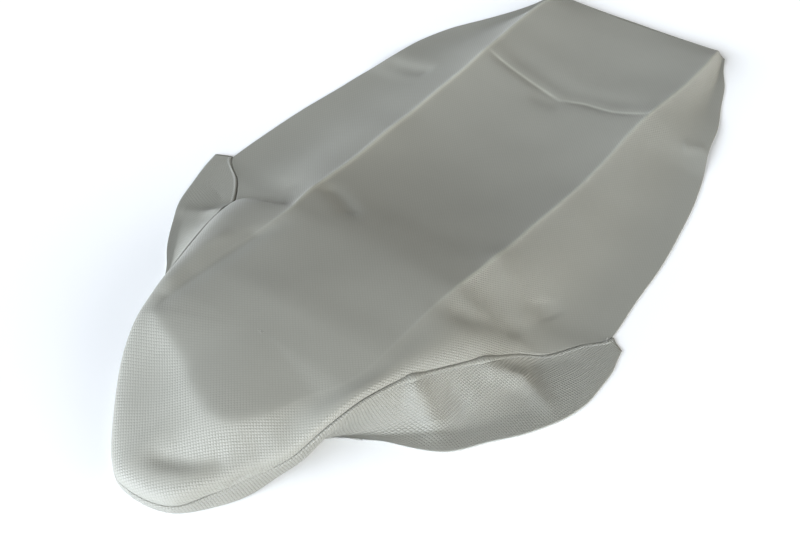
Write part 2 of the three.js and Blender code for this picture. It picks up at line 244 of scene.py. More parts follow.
class ClothSettings(bpy.types.PropertyGroup):
    """Sizes of the cloth and of its sewing."""

    thickness: length_setting("Thickness", "Thickness of the backed vinyl", 1.3)
    row_count: IntProperty(
        name="Rows", description="Rows of faces from the tail to the nose on each side",
        default=300, min=60)
    seam_depth: length_setting("Seam allowance", "How far both cloths turn in at the seam", 2.6)
    band_width: length_setting("Seam band", "Distance of the topstitches from the seam", 3.3)
    band_height: length_setting("Band height", "Rise of the cloth over the seam allowance", 0.6)
    weave_pitch: length_setting("Grain pitch", "Distance between two squares of the grain", 2.2)
    panel_bias: FloatProperty(
        name="Panel bias", description="Turn of the grain's rows across the main panel's cut",
        default=np.radians(41), unit="ROTATION")
    gusset_bias: FloatProperty(
        name="Gusset bias", description="Turn of the grain's rows against a gusset's seam",
        default=np.radians(66), unit="ROTATION")
    stitch_spacing: length_setting("Stitch spacing", "Distance from one topstitch to the next", 3.0)
    stitch_length: length_setting("Stitch length", "Length of a topstitch that shows", 2.2)
    thread_radius: length_setting("Thread radius", "Radius of the sewing thread", 0.28)


class FinishSettings(bpy.types.PropertyGroup):
    """Colours and grain of the vinyl, its backing and the thread."""

    vinyl_colour: colour_setting("Vinyl", "Colour of the embossed vinyl", 0.257, 0.253, 0.220)
    # Paler colour along ridges and creases: stress whitening with a painted highlight
    whitening_and_highlight_colour: colour_setting("Crease", "Colour where it is bent sharply", 0.40, 0.40, 0.345)
    backing_colour: colour_setting("Backing", "Colour of the knitted backing underneath", 0.42, 0.42, 0.40)
    thread_colour: colour_setting("Thread", "Colour of the sewing thread", 0.30, 0.30, 0.28)
    weave_depth: length_setting("Grain depth", "Depth of the grooves between the squares", 0.17)
    roughness: FloatProperty(
        name="Roughness", description="Roughness of the vinyl's surface",
        default=0.4, min=0, max=1)


class StudioSettings(bpy.types.PropertyGroup):
    """Light and floor of the plain studio."""

    brightness: FloatProperty(
        name="Brightness", description="Brightness of the soft screens round the cover",
        default=1.0, min=0)
    spread: FloatProperty(
        name="Spread", description="How quickly a screen fades from its middle",
        default=11.0, min=1)
    overhead: FloatProperty(
        name="Overhead", description="Brightness of the surroundings between the screens",
        default=0.03, min=0)
    floor_colour: colour_setting("Floor", "Colour of the floor", 0.93, 0.93, 0.93)


def running(steps):
    """Sum of the steps before each place along the last axis, from 0 at the first place."""
    total = np.cumsum(steps, axis=-1)
    return np.concatenate([np.zeros_like(total[..., :1]), total], axis=-1)


def length_along(points):
    """Length along each line of points, from 0 at its first point to every point."""
    return running(np.linalg.norm(np.diff(points, axis=-2), axis=-1))


# Distance of every station along the left edge in plan, the measure that all rows share
STATION_AT = running(np.hypot(np.diff(LEFT_EDGE["x"]), np.diff(LEFT_EDGE["y"])))


def place_of(stations):
    """Distance along the left edge at stations, whole or in between."""
    return np.interp(stations, np.arange(len(STATION_AT)), STATION_AT)


def knot_curve(at, values, places):
    """Cubic Hermite curve through the knots.

    The slope at a knot is the mean of its two neighbours' rises, weighted by the shorter step,
    limited to three times the gentler of them, and zero at a high or low point."""
    step = np.diff(at)
    rise = np.diff(values) / step
    share = step[:-1] / (step[:-1] + step[1:])
    mean = rise[:-1] * (1 - share) + rise[1:] * share
    limit = 3 * np.minimum(abs(rise[:-1]), abs(rise[1:]))
    inner = np.where(rise[:-1] * rise[1:] > 0, np.sign(mean) * np.minimum(abs(mean), limit), 0)
    slope = np.concatenate([rise[:1], inner, rise[-1:]])
    i = np.clip(np.searchsorted(at, places, side="right") - 1, 0, len(at) - 2)
    t = (places - at[i]) / step[i]
    return (values[i] * (1 + 2 * t) * (1 - t) ** 2 + values[i + 1] * t * t * (3 - 2 * t)
            + step[i] * (slope[i] * t * (1 - t) ** 2 - slope[i + 1] * t * t * (1 - t)))


def read_at(rows, places, columns):
    """Every column of a table as a curve through its values at the places, read at the rows."""
    return {name: knot_curve(places, column, rows)[:, None] for name, column in columns.items()}


def smooth_step(low, high, values):
    """0 below low, 1 above high, and 3t^2 - 2t^3 between them."""
    t = np.clip((values - low) / (high - low), 0, 1)
    return t * t * (3 - 2 * t)


def unit(vectors):
    """Vectors divided by their own length."""
    return vectors / (np.linalg.norm(vectors, axis=-1, keepdims=True) + 1e-12)


def bezier(p0, p1, p2, p3, t):
    """Cubic Bezier curve of four control points at t."""
    u = 1 - t
    return u ** 3 * p0 + 3 * u * u * t * p1 + 3 * u * t * t * p2 + t ** 3 * p3


def places_to_end(near, count):
    """Places along a curve from 0 to 1: the near ones, then even steps to the end."""
    rest = near[:, -1:] + (1 - near[:, -1:]) * np.linspace(0, 1, count + 1)[1:]
    return np.concatenate([near, rest], axis=1)


def falling(plan_direction, degrees):
    """Unit vector along a plan direction that falls by an angle: (plan cos, -sin)."""
    angle = np.radians(degrees)
    return np.concatenate([plan_direction * np.cos(angle), -np.sin(angle)], axis=1)


def ribs(side, rows):
    """Spine, ridge, control points, lip and edge of the panel's ribs at the rows' places.

    Each is an array of one point a row. The skirt's curve leaves the ridge at the brow's slope and
    reaches the straight lip at the foot's slope. outward is square to the lip, away from below."""
    read = read_at(rows, STATION_AT, CROWN)
    edge = read_at(rows, STATION_AT, EDGES[side])
    flat = np.zeros_like(edge["x"])
    spine = np.hstack([flat, read["spine_y"], read["spine_z"] + HALF_SOLID])
    name = SIDE_NAMES[side]
    ridge = np.hstack([read[name + "_x"], read[name + "_y"], read["ridge_z"] + HALF_SOLID])
    end = np.hstack([edge["x"], edge["y"], edge["z"] + HALF_SOLID])
    plan = unit((end - ridge)[:, :2])
    down = falling(plan, edge["foot"])
    lip = end - edge["lip"] * down
    length = np.linalg.norm(lip - ridge, axis=1, keepdims=True)
    arm = length * edge["brow_reach"]
    return SimpleNamespace(
        spine=spine, ridge=ridge, lip=lip, end=end, plan=plan, down=down, arm=arm, foot=edge["foot"],
        brow_point=ridge + arm * falling(plan, edge["brow"]),
        foot_point=lip - length * edge["foot_reach"] * down,
        outward=falling(plan, edge["foot"] - 90))


# Where a rib has a point: shares of the way from the spine to the ridge, distances past the ridge,
# and the number of points down the rest of the skirt
TOP_SHARES = np.concatenate([np.linspace(0, 0.9, 21), [0.93, 0.955, 0.975, 0.988, 1.0]])
NEAR_RIDGE = np.array([1.2, 2.4, 4.0, 6.0, 8.5])
SKIRT_COUNT = 34
LIP_SHARES = np.array([0.35, 0.7])

# The last millimetres of the panel: distance from the seam and depth where it turns inwards, or
# distance from a free edge
SEAM_TURN = np.array([[2.4, 0], [1.7, 0.06], [1.2, 0.28], [0.88, 0.7], [0.75, 1.3], [0.74, 2.6]])
FREE_TURN = np.array([2.4, 1.9, 1.4, 0.9, 0.45, 0.0])
NOTCH_FADE = 0.25  # share of a station over which the free edge becomes a sewn one
LEAST_UPRIGHT = 0.15  # least cosine by which the room below a steep edge is divided
FLOOR_GAP = 0.05  # room that a turned edge leaves above the surface below


def turned_edge(rib, rows, sizes):
    """Points of a sewn edge, (rows, points, 3): the cloth turns inwards beside the seam.

    Where the seam lies on the surface the turn is as shallow as the room below it."""
    sewn = smooth_step(*place_of([NOTCH_STATION, NOTCH_STATION + NOTCH_FADE]), rows)[:, None]
    back = SEAM_TURN[:, 0] * sewn + FREE_TURN * (1 - sewn)
    upright = np.clip(np.cos(np.radians(rib.foot)), LEAST_UPRIGHT, 1)
    room = (rib.end[:, 2:] - sizes.thickness / 2) / upright
    depth = SEAM_TURN[:, 1] * sizes.seam_depth / SEAM_TURN[-1, 1]
    depth = np.minimum(depth * sewn, np.clip(room - FLOOR_GAP, 0, None))
    return (rib.end[:, None] - back[..., None] * rib.down[:, None]
            - depth[..., None] * rib.outward[:, None])


def panel_half(side, rows, sizes):
    """Half of the main panel as a grid of points, from the tail to the nose and spine to edge.

    From the spine to the ridge a rib is straight in plan and its height is a parabola of the share
    of the way. From the ridge to the lip it is a cubic Bezier, and the lip is straight."""
    rib = ribs(side, rows)
    share = np.stack([TOP_SHARES, TOP_SHARES, TOP_SHARES ** 2], axis=1)
    top = rib.spine[:, None] + (rib.ridge - rib.spine)[:, None] * share
    along = places_to_end(NEAR_RIDGE / (3 * rib.arm), SKIRT_COUNT)[..., None]
    knots = (rib.ridge, rib.brow_point, rib.foot_point, rib.lip)
    skirt = bezier(*(point[:, None] for point in knots), along)
    turn = turned_edge(rib, rows, sizes)
    lip = rib.lip[:, None] + (turn[:, :1] - rib.lip[:, None]) * LIP_SHARES[:, None]
    grid = np.concatenate([top, skirt, lip, turn], axis=1)
    grid[..., 0] *= side
    return grid


def flat_cut(grid, directions):
    """Place of every point in the flat cut: the length of each step along its rib, laid out in the
    plan direction that the rib has there."""
    length = np.linalg.norm(np.diff(grid, axis=1), axis=2)[..., None]
    steps = np.cumsum(length * directions[:, 1:], axis=1)
    start = grid[:, :1, :2]
    return np.concatenate([start, start + steps], axis=1)


def around(left, right):
    """Rows of both halves as one: up the left side, round the nose and down the right side."""
    return np.concatenate([left, right[::-1][1:]])


def main_panel_grid(rows, sizes):
    """The whole panel as a grid of points and their places in the flat cut."""
    grids, cuts = [], []
    for side in (LEFT, RIGHT):
        grid = panel_half(side, rows, sizes)
        rib = ribs(side, rows)
        top = unit((rib.ridge - rib.spine)[:, :2])
        counts = [len(TOP_SHARES), grid.shape[1] - len(TOP_SHARES)]
        directions = np.repeat(np.stack([top, rib.plan], axis=1), counts, axis=1) * (side, 1)
        grids.append(grid)
        cuts.append(flat_cut(grid, directions))
    return around(*grids), around(*cuts)


# Points down a gusset: distances past the seam, then counts down the rest of the fall and over the
# part that lies flat. On a short fall the first ones take only a share of it.
BAND_POINTS = np.array([0.75, 0.88, 1.2, 1.7, 2.4, 2.9, 3.3, 3.7, 4.3])
BAND_SHARE = 0.75
FALL_COUNT = 40
FLAT_COUNT = 10

# The gusset's curve and the relief beside its seam
GUSSET_ARM = 0.35  # reach of the curve's arms, as a share of its length
BAND_END = (0.85, 1.3)  # where the raised band falls away, as shares of its width
GROOVE_DEPTH = 0.3
GROOVE_WIDTH = 0.45
SEAM_ROLL = ([0.7, 0.88, 1.2, 1.7, 2.4], [1.0, 0.7, 0.28, 0.06, 0.0])  # distances and depths
ROLL_SHARE = 0.6  # share of the room above the surface below that the roll may take,
ROLL_LEAST = 0.1  # and what it may take besides
SEAM_SHARE = 0.9  # share of that room that the seam allowance may take
MIDDLE_GAP = 0.3  # half the clearance between the gussets at the nose


def gusset_grid(side, rows, sizes):
    """Gusset on one side as a grid of points and their places in the flat cut.

    It comes out of the seam square to the panel's edge, turns over into line with it, falls along
    a cubic Bezier on to the surface below and lies straight from its foot to its hem. The first
    millimetres stand up over the seam allowance, and the topstitches pull a groove beside them."""
    rib = ribs(side, rows)
    read = read_at(rows, place_of(GUSSETS["station"]), GUSSETS)
    half = sizes.thickness / 2
    floor = np.full((len(rows), 1), half)
    foot, hem = (
        np.hstack([read[f"{SIDE_NAMES[side]}_{end}_x"], read[f"{SIDE_NAMES[side]}_{end}_y"], floor])
        for end in ("foot", "hem"))
    start = rib.end
    arm = np.linalg.norm(foot - start, axis=1, keepdims=True) * GUSSET_ARM
    away = unit(hem - foot)
    first = start + arm * rib.down
    second = foot - arm * away
    reach = np.maximum(3 * arm, 1)
    band = np.minimum(BAND_POINTS / reach, BAND_SHARE * BAND_POINTS / BAND_POINTS[-1])
    along = places_to_end(band, FALL_COUNT)
    fall = bezier(start[:, None], first[:, None], second[:, None], foot[:, None], along[..., None])
    flat = foot[:, None] + (hem - foot)[:, None] * np.linspace(0, 1, FLAT_COUNT + 1)[1:][:, None]
    grid = np.concatenate([fall, flat], axis=1)
    past = np.concatenate([along * reach, np.full((len(rows), FLAT_COUNT), np.inf)], axis=1)
    fall_away = (share * sizes.band_width for share in BAND_END)
    raised = sizes.band_height * (1 - smooth_step(*fall_away, past))
    groove = GROOVE_DEPTH * np.exp(-((past - sizes.band_width) / GROOVE_WIDTH) ** 2)
    turned = np.interp(past, *SEAM_ROLL)
    room = np.clip(grid[..., 2] - half, 0, None)
    lift = raised - groove - np.minimum(turned, ROLL_SHARE * room + ROLL_LEAST)
    grid = grid + rib.outward[:, None] * np.maximum(lift, -room)[..., None]
    depth = np.minimum(sizes.seam_depth, SEAM_SHARE * room[:, :1])
    inner = grid[:, :1] - rib.outward[:, None] * depth[..., None]
    grid = np.concatenate([inner, grid], axis=1)
    grid[..., 2] = np.maximum(grid[..., 2], half)
    grid[..., 0] = np.maximum(grid[..., 0], MIDDLE_GAP)
    seam = length_along(start)
    cut = np.stack([np.tile(seam[:, None], (1, grid.shape[1])), -length_along(grid)], axis=2)
    grid[..., 0] *= side
    cut[..., 0] *= side
    return grid, cut


def grid_normals(grid):
    """Unit normals of a grid of points, turned to point up."""
    across = np.gradient(grid, axis=1)
    length = np.gradient(grid, axis=0)
    normals = unit(np.cross(length, across))
    return np.where(normals[..., 2:] < 0, -normals, normals)


def panel_normals(grid):
    """Unit normals of the main panel's grid, straight up along the spine, where its halves meet."""
    normals = grid_normals(grid)
    normals[:, 0] = (0, 0, 1)
    return normals


def nearest_on_path(points, path):
    """Shortest distance in plan from points to a path of straight pieces, and the share of the
    path's length where that is."""
    path = np.array(path, float)
    lengths = np.linalg.norm(np.diff(path, axis=0), axis=1)
    distance = np.full(points.shape[:-1], np.inf)
    share = np.zeros(points.shape[:-1])
    for first, last, length, passed in zip(path, path[1:], lengths, np.cumsum(lengths) - lengths):
        offset = points[..., :2] - first
        t = np.clip(offset @ (last - first) / length ** 2, 0, 1)
        gap = np.linalg.norm(offset - t[..., None] * (last - first), axis=-1)
        nearer = gap < distance
        distance = np.where(nearer, gap, distance)
        share = np.where(nearer, (passed + t * length) / lengths.sum(), share)
    return distance, share


def end_fade(share):
    """Strength of a crease at a share of its path: a quarter at both ends, rising as a sine to its
    full height at about a sixth of the way."""
    return np.minimum(1, 0.25 + 1.6 * np.sin(np.pi * share))


TENT_STEEPNESS = 1.4
TENT_ROUNDING = 0.02
FLOOR_FADE = 4  # height over which a dent grows from nothing at the surface below
FLOOR_STRENGTH = 0.3  # what is left there of a raised crease
PALE_WIDTH = 2.2


def press_creases(grid, normals, creases, thickness):
    """Lift or sink a grid along its normals beside each crease's path, by a bell or a tent of the
    distance; a crease fades at its ends, and a dent where the cloth lies on the surface below."""
    room = np.clip((grid[..., 2] - thickness / 2) / FLOOR_FADE, 0, 1)
    lift = np.zeros(grid.shape[:-1])
    for crease in creases:
        distance, share = nearest_on_path(grid, crease.path)
        distance = distance / crease.width
        tent = np.sqrt((TENT_STEEPNESS * distance) ** 2 + TENT_ROUNDING) - np.sqrt(TENT_ROUNDING)
        shape = crease.sharp * np.exp(-tent) + (1 - crease.sharp) * np.exp(-distance ** 2)
        free = room if crease.height < 0 else FLOOR_STRENGTH + (1 - FLOOR_STRENGTH) * room
        lift += crease.height * end_fade(share) * shape * free
    return grid + normals * lift[..., None]


def pale_lines(grid, creases):
    """Paler line along the creases that have it, stress whitening with a painted highlight: a bell of the
    distance from the path.
    """
    line = np.zeros(grid.shape[:-1])
    for crease in creases:
        distance, share = nearest_on_path(grid, crease.path)
        line += crease.pale * end_fade(share) * np.exp(-(distance / PALE_WIDTH) ** 2)
    return line


# Slow uneven waves: strength, lengths in x and y for one radian, and start. No two share a step.
WAVES = [(1.0, 23, 61, 0), (0.8, -47, 29, 1.3), (0.6, 14, -19, 0.4), (0.5, 37, 16, 2.1)]
WAVE_HEIGHT = 0.5
WAVE_ROOM = 6  # height above the surface below at which the waves are full


def ripples(points):
    """Height of the slow waves: a sum of sines in plan."""
    x, y = points[..., 0], points[..., 1]
    wave = sum(part * np.sin(x / across + y / along + start) for part, across, along, start in WAVES)
    return WAVE_HEIGHT * wave / sum(part for part, *_ in WAVES)


# Radius over which each ridge is rounded, station by station
ROUNDING = table("station left right", [
    [0, 0.8, 0.8],
    [9, 1.0, 1.0],
    [12, 1.4, 1.2],
    [13.5, 2.2, 1.6],
    [16, 3.5, 2.2],
    [18, 4.0, 3.0],
    [19, 4.0, 4.0],
    [22, 6, 6],
    [25, 7, 7],
])
ROUNDED_REACH = 2.5  # how far from the ridge points still move, in rounding radii


def by_row(values, rows):
    """Values of a station table's left and right columns at every row of the panel's grid."""
    stations = np.interp(rows, STATION_AT, np.arange(len(STATION_AT)))
    sides = (np.interp(stations, values["station"], values[name]) for name in SIDE_NAMES.values())
    return around(*sides)[:, None]


def from_ridge(grid):
    """Length along the rib from its ridge, positive towards the edge."""
    length = length_along(grid)
    return length - length[:, len(TOP_SHARES) - 1, None]


def round_ridges(grid, rows):
    """Round the kink at each ridge: near it a point moves to the mean of its rib, weighted by a
    bell of the length along the rib as wide as the rounding."""
    radius = by_row(ROUNDING, rows)
    place = from_ridge(grid)
    share = np.gradient(place, axis=1)
    bell = np.exp(-((place[:, :, None] - place[:, None, :]) / radius[..., None]) ** 2) * share[:, None]
    mean = np.einsum("rij,rjk->rik", bell, grid) / bell.sum(axis=2)[..., None]
    near = np.exp(-(place / (ROUNDED_REACH * radius)) ** 4)[..., None]
    return grid + (mean - grid) * near


def to_frame(grid):
    """Points of the tables' millimetres as metres in the frame."""
    return (grid - PLAN_CENTRE) * MM


# How much the grain leans where the cloth was drawn over the far side of the dome, how far right
# of the spine that starts, and over what distance it grows
DRAWN = 0.8
DRAWN_FROM = 30
DRAWN_SOFTNESS = 22.0


def grain_rows(cut, bias, pitch, drawn=0.0):
    """Places in the embossed grain, one unit for each row of squares.

    Both sets of rows run straight across the flat cut, the first at the bias and the second
    square to it. Where the cloth was drawn the second set leans: its phase loses the part
    drawn, which grows to the right of the spine as the logarithm of 1 plus an exponential."""
    x, y = cut[..., 0], cut[..., 1]
    lean = DRAWN_SOFTNESS * np.log1p(np.exp((-x - DRAWN_FROM) / DRAWN_SOFTNESS))
    first = x * np.cos(bias) + y * np.sin(bias)
    second = -(x + drawn * lean) * np.sin(bias) + y * np.cos(bias)
    return np.stack([first, second], axis=-1) / pitch


def placed(name, data):
    """New object of some data, in the scene."""
    piece = bpy.data.objects.new(name, data)
    bpy.context.scene.collection.objects.link(piece)
    return piece


def cloth_object(name, grid, cut, grain, attributes, turned):
    """Mesh object of a grid of points: one face for each square of the grid, its places in the flat
    cut and in the grain as UV maps and its named values as attributes. Points that meet merge, and
    turned reverses the faces of a grid that would show its underside."""
    rows, columns = grid.shape[:2]
    corner = (np.arange(rows - 1)[:, None] * columns + np.arange(columns - 1)).reshape(-1)
    faces = np.stack([corner, corner + columns, corner + columns + 1, corner + 1], axis=1)
    if turned:
        faces = faces[:, ::-1]
    mesh = bpy.data.meshes.new(name)
    mesh.vertices.add(rows * columns)
    mesh.vertices.foreach_set("co", to_frame(grid).reshape(-1))
    mesh.loops.add(faces.size)
    mesh.loops.foreach_set("vertex_index", faces.reshape(-1))
    mesh.polygons.add(len(faces))
    mesh.polygons.foreach_set("loop_start", np.arange(0, faces.size, 4))
    mesh.update(calc_edges=True)
    for key, places in (("flat_cut", cut * MM), ("grain", grain)):
        layer = mesh.uv_layers.new(name=key)
        layer.data.foreach_set("uv", places.reshape(-1, 2)[faces.reshape(-1)].reshape(-1))
    for key, values in attributes.items():
        mesh.attributes.new(key, "FLOAT", "POINT").data.foreach_set("value", values.reshape(-1))
    merged = bmesh.new()
    merged.from_mesh(mesh)
    bmesh.ops.remove_doubles(merged, verts=merged.verts, dist=1e-6)
    merged.to_mesh(mesh)
    merged.free()
    mesh.shade_smooth()
    mesh.validate()
    return placed(name, mesh)


def thicken(piece, thickness):
    """Thickness to both sides of a cloth, with its underside and cut edges in the second material."""
    solid = piece.modifiers.new("cloth thickness", "SOLIDIFY")
    solid.thickness = thickness * MM
    solid.offset = 0
    solid.material_offset = 1
    solid.material_offset_rim = 1


def cloth_sizes():
    """The cloth's settings, with its lengths in millimetres."""
    settings = bpy.context.scene.cover_cloth
    sizes = {name: getattr(settings, name) for name in ("row_count", "panel_bias", "gusset_bias")}
    for name in ("thickness", "seam_depth", "band_width", "band_height", "weave_pitch",
                 "stitch_spacing", "stitch_length", "thread_radius"):
        sizes[name] = getattr(settings, name) / MM
    return SimpleNamespace(**sizes)


# How much the cloth is pinched up along each ridge, station by station, over what distance that falls
# away, and the half width of the paler line, which is stress whitening with a painted highlight on the
# ridge
PINCH = table("station left right", [
    [0, 0.4, 0.6],
    [2, 0.9, 1.2],
    [5, 1.0, 1.6],
    [9, 1.1, 1.7],
    [12, 0.9, 1.6],
    [13.5, 0.7, 1.0],
    [15, 0.3, 0.2],
    [17, 0.1, 0.0],
    [25, 0.0, 0.0],
])
PINCH_REACH = 2.0
PINCH_LINE = 1.2


def pinch_ridges(grid, rows):
    """Lift both halves of the panel beside their ridges by an exponential of the distance along the rib.
    Returns the grid and a bell of that distance, which makes the vinyl paler: stress whitening with a
    painted highlight on the ridge."""
    distance = abs(from_ridge(grid))
    height = by_row(PINCH, rows)
    lift = height * np.exp(-distance / PINCH_REACH)
    line = height * np.exp(-(distance / PINCH_LINE) ** 2)
    return grid + panel_normals(grid) * lift[..., None], line


# The stations between which the cross crease runs, and the share of all rows that go there
CROSS_CREASE = (4.6, 5.5)
CROSS_SHARE = 0.14


def panel_rows(count):
    """Places of the panel's rows: even, and closer together across the cross crease."""
    extra = int(count * CROSS_SHARE)
    even = np.linspace(0, STATION_AT[-1], count - extra)
    return np.sort(np.concatenate([even, np.linspace(*place_of(CROSS_CREASE), extra)]))


def make_main_panel():
    """The main panel, with its ridges, creases and slow waves."""
    sizes = cloth_sizes()
    rows = panel_rows(sizes.row_count)
    grid, cut = main_panel_grid(rows, sizes)
    grid[..., 2] += (sizes.thickness - SOLID_SHEET) / 2
    grid = round_ridges(grid, rows)
    grid, line = pinch_ridges(grid, rows)
    # Paler line along the ridges and creases: stress whitening with a painted highlight
    line = line + pale_lines(grid, PANEL_CREASES)
    grid = press_creases(grid, panel_normals(grid), PANEL_CREASES, sizes.thickness)
    free = np.clip((grid[..., 2] - sizes.thickness / 2) / WAVE_ROOM, 0, 1)
    grid[..., 2] += ripples(grid) * free
    grain = grain_rows(cut, sizes.panel_bias, sizes.weave_pitch, drawn=DRAWN)
    values = {"whitening_and_highlight_line": line, "emboss": grain_relief(grid)}
    piece = cloth_object("main_panel_cloth", grid, cut, grain, values, turned=False)
    finish_cloth(piece, "main_panel", cut, sizes)


def flat_area(cut):
    """Area of the flat cut in square metres: half the cross product of every cell's diagonals."""
    first = cut[1:, 1:] - cut[:-1, :-1]
    second = cut[1:, :-1] - cut[:-1, 1:]
    cells = abs(first[..., 0] * second[..., 1] - first[..., 1] * second[..., 0]) / 2
    return float(cells.sum()) * MM ** 2


def finish_cloth(piece, node, cut, sizes):
    """Materials and thickness of a piece of cloth that stands for a node, hung on the root, with the
    node's solid hidden.
    """
    piece.data.materials.append(made_once("embossed vinyl", vinyl_nodes))
    piece.data.materials.append(made_once("knitted backing", backing_nodes))
    thicken(piece, sizes.thickness)
    width, length = np.ptp(cut[..., 0]) * MM, np.ptp(cut[..., 1]) * MM
    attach(piece, "root")
    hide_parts(node)
    flat_area(cut)


# How strongly the grain stands out, as places and values: by the upright part of the normal,
# along the nose, and across the cloth, which counts behind the nose
RELIEF_BY_SLOPE = ([0.80, 0.985], [2.2, 0.4])
RELIEF_AT_NOSE = ([30, 100], [0.9, 0.35])
RELIEF_ACROSS = ([-90, 0], [0.4, 1])
BEHIND_NOSE = ([120, 240], [0, 1])


def grain_relief(grid):
    """How strongly the grain stands out: more on slopes and at the nose, where it is drawn, and
    less to the right behind the nose."""
    slope = np.interp(grid_normals(grid)[..., 2], *RELIEF_BY_SLOPE)
    relief = np.maximum(slope, np.interp(grid[..., 1], *RELIEF_AT_NOSE))
    right = np.interp(grid[..., 0], *RELIEF_ACROSS)
    return relief * (1 + (right - 1) * np.interp(grid[..., 1], *BEHIND_NOSE))


# The gussets' rows as a share of the panel's, and the least relief of the grain on each with the
# factor by which it is stronger than on the panel
GUSSET_ROWS = 0.62
GUSSET_RELIEF = {LEFT: (2.2, 1.7), RIGHT: (0.6, 1.0)}


def gusset_surface(side, sizes):
    """The finished surface of one gusset and its places in the flat cut, with its folds."""
    count = int(sizes.row_count * GUSSET_ROWS)
    rows = np.linspace(STATION_AT[NOTCH_STATION], STATION_AT[-1], count)
    grid, cut = gusset_grid(side, rows, sizes)
    grid = press_creases(grid, grid_normals(grid), GUSSET_CREASES[side], sizes.thickness)
    grid[..., 2] = np.maximum(grid[..., 2], sizes.thickness / 2)
    return grid, cut


def make_gusset(side, node):
    """One gusset, with its band over the seam allowance and its folds."""
    sizes = cloth_sizes()
    grid, cut = gusset_surface(side, sizes)
    grain = grain_rows(cut, side * sizes.gusset_bias, sizes.weave_pitch)
    least, gain = GUSSET_RELIEF[side]
    values = {"whitening_and_highlight_line": np.zeros(grid.shape[:2]), "emboss": np.maximum(least, gain * grain_relief(grid))}
    piece = cloth_object(node.replace("front_gusset", "gusset_cloth"), grid, cut, grain, values,
                         turned=side == RIGHT)
    finish_cloth(piece, node, cut, sizes)


# A stitch: rings along it as shares of its half length, their radius and how far each sinks
STITCH_RINGS = table("along radius sink", [
    [-1.0, 0.35, 1.2],
    [-0.8, 0.8, 0.6],
    [-0.35, 1.0, 0.0],
    [0.35, 1.0, 0.0],
    [0.8, 0.8, 0.6],
    [1.0, 0.35, 1.2],
])
STITCH_SIDES = 6
FIRST_STITCH = 0.7  # place of the first stitch, in stitch spacings from the notch
STITCH_RISE = 0.5  # height of a stitch's middle over the cloth, in thread radii

# The loose end of thread: its stitch, the points along it, its run to the side and to the tail, its
# bow, how much its pieces overlap, and a direction that isn't along it
THREAD_STITCH = 2
THREAD_POINTS = 11
THREAD_RUN = (-2.6, 6.0)
THREAD_BOW = 1.1
THREAD_OVERLAP = 1.5
THREAD_SIDE = (1.0, 0.3, 0.0)


def stitch_mesh(name, centres, along, up, lengths, radius):
    """Mesh of many stitches, each a short capsule on its centre: rings of points round the line
    along it, joined by squares and closed at both ends."""
    across = np.cross(along, up)
    turn = np.arange(STITCH_SIDES) * 2 * np.pi / STITCH_SIDES
    shape = {name: column[:, None, None] for name, column in STITCH_RINGS.items()}
    middles = shape["along"] * (lengths[:, None, None, None] / 2) * along[:, None, None]
    sunk = shape["sink"] * radius * up[:, None, None]
    circle = (np.cos(turn)[:, None] * across[:, None, None]
              + np.sin(turn)[:, None] * up[:, None, None])
    points = centres[:, None, None] + middles - sunk + circle * (shape["radius"] * radius)
    ring_count = len(STITCH_RINGS["along"])
    first = np.arange(len(centres))[:, None, None] * ring_count * STITCH_SIDES
    ring = first + np.arange(ring_count - 1)[:, None] * STITCH_SIDES
    here, following = np.arange(STITCH_SIDES), (np.arange(STITCH_SIDES) + 1) % STITCH_SIDES
    squares = np.stack([ring + here, ring + following, ring + following + STITCH_SIDES,
                        ring + here + STITCH_SIDES], axis=-1).reshape(-1, 4)
    near = (first[:, 0] + here[::-1]).tolist()
    far = (first[:, 0] + (ring_count - 1) * STITCH_SIDES + here).tolist()
    mesh = bpy.data.meshes.new(name)
    mesh.from_pydata(to_frame(points.reshape(-1, 3)), [], squares.tolist() + near + far)
    mesh.shade_smooth()
    return mesh


def thread_end(start, thickness, radius):
    """A loose end of thread that curls from a stitch near the notch over the panel: the middles, the
    directions and the lengths of short pieces that overlap. It runs straight, bowed by half a sine
    both to the side and upwards."""
    share = np.linspace(0, 1, THREAD_POINTS)
    bow = THREAD_BOW * np.sin(np.pi * share)
    points = start + np.stack([THREAD_RUN[0] * share - bow, THREAD_RUN[1] * share, 0 * share], axis=1)
    points[:, 2] = np.interp(share, [0, 1], [start[2], thickness + radius]) + bow
    steps = np.diff(points, axis=0)
    length = np.linalg.norm(steps, axis=1)
    return (points[1:] + points[:-1]) / 2, steps / length[:, None], THREAD_OVERLAP * length


def make_topstitch(side, name):
    """The row of stitches beside one gusset's seam, lying in the groove that they pull."""
    sizes = cloth_sizes()
    grid, _ = gusset_surface(side, sizes)
    normals = grid_normals(grid)
    column = 1 + int(np.argmin(abs(BAND_POINTS - sizes.band_width)))
    line, facing = grid[:, column], normals[:, column]
    length = length_along(line)
    places = np.arange(FIRST_STITCH * sizes.stitch_spacing, length[-1], sizes.stitch_spacing)
    centres, up = (np.stack([np.interp(places, length, part) for part in values.T], axis=1)
                   for values in (line, facing))
    up = unit(up)
    along = unit(np.gradient(centres, axis=0))
    along = unit(along - up * np.sum(along * up, axis=1, keepdims=True))
    centres = centres + up * (sizes.thickness / 2 + STITCH_RISE * sizes.thread_radius)
    lengths = np.full(len(centres), sizes.stitch_length)
    if side == LEFT:
        loose = thread_end(centres[THREAD_STITCH], sizes.thickness, sizes.thread_radius)
        centres, along, lengths = (
            np.concatenate(pair) for pair in zip((centres, along, lengths), loose))
        up = np.concatenate([up, unit(np.cross(loose[1], THREAD_SIDE))])
    mesh = stitch_mesh(name, centres, along, up, lengths, sizes.thread_radius)
    mesh.materials.append(made_once("sewing thread", thread_nodes))
    piece = placed(name, mesh)
    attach(piece, "root")


VECTOR_MATH = "ShaderNodeVectorMath"


